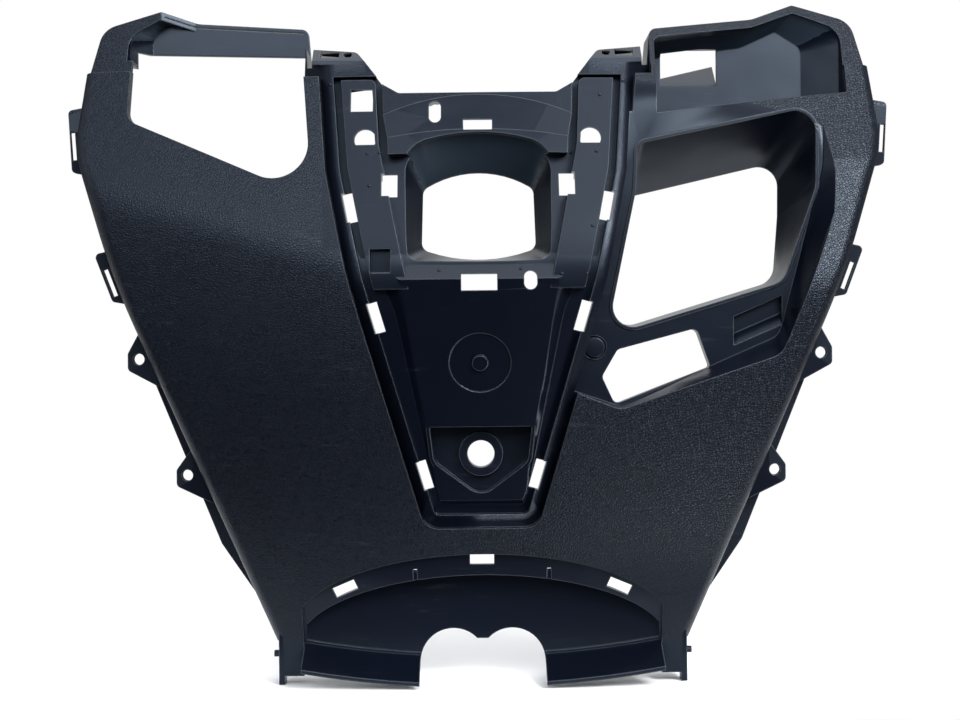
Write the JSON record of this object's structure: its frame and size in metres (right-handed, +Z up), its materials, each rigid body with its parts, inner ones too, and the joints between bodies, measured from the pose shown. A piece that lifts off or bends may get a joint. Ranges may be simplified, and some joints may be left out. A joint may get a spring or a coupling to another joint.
{
  "type": "scooter leg shield inner panel",
  "caption": "Grained black plastic inner leg shield for a scooter, with a recessed centre, a lock bore, open pockets and an arched foot.",
  "frame": {"origin": "centre of the steering lock bore at its mouth, on the rider's side", "axes": "+X to the rider's right, +Y forward away from the rider, +Z up"},
  "size_m": [0.5284, 0.0959, 0.4419],
  "materials": {
    "black_plastic": "fine leather grain on the wings, smooth semi-gloss in the recesses"
  },
  "bodies": {
    "root": {"leg_shield": "black_plastic"}
  },
  "joints": []
}
